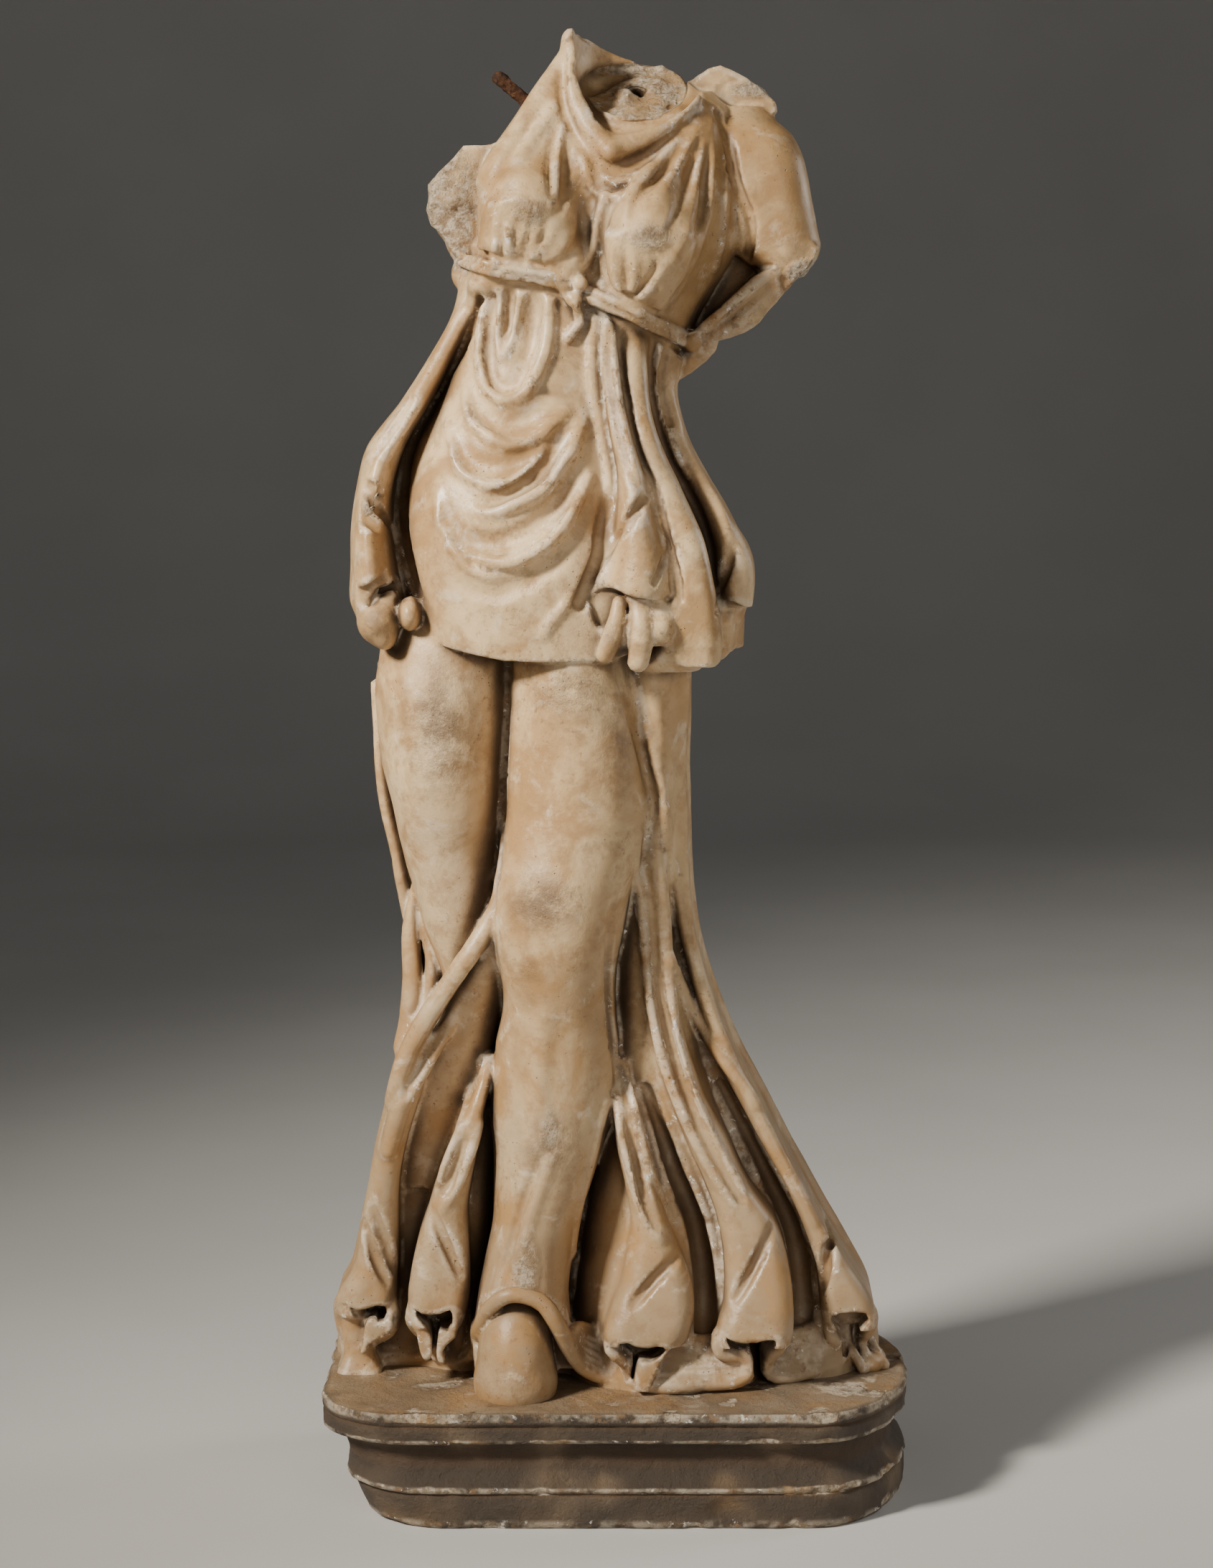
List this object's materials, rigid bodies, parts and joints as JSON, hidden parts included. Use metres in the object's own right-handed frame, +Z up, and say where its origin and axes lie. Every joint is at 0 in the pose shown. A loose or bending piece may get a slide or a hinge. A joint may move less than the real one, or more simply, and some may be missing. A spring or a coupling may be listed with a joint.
{
  "type": "marble maenad statue",
  "caption": "Headless marble figure of a dancing maenad in a thin belted dress with swirling folds, standing on a moulded plinth, with an iron dowel in the broken right shoulder.",
  "frame": {"origin": "centre of the plinth's underside", "axes": "+Z up, -Y towards the viewer that the figure faces, +X towards the figure's left arm"},
  "size_m": [0.409, 0.25, 1.0023],
  "materials": {
    "marble": "warm cream marble, worn satin, with honey-brown stains and dirt in the hollows",
    "rusted_iron": "rough, flaking rust"
  },
  "bodies": {
    "root": {"statue": "marble", "shoulder_dowel": "rusted_iron"}
  },
  "joints": []
}
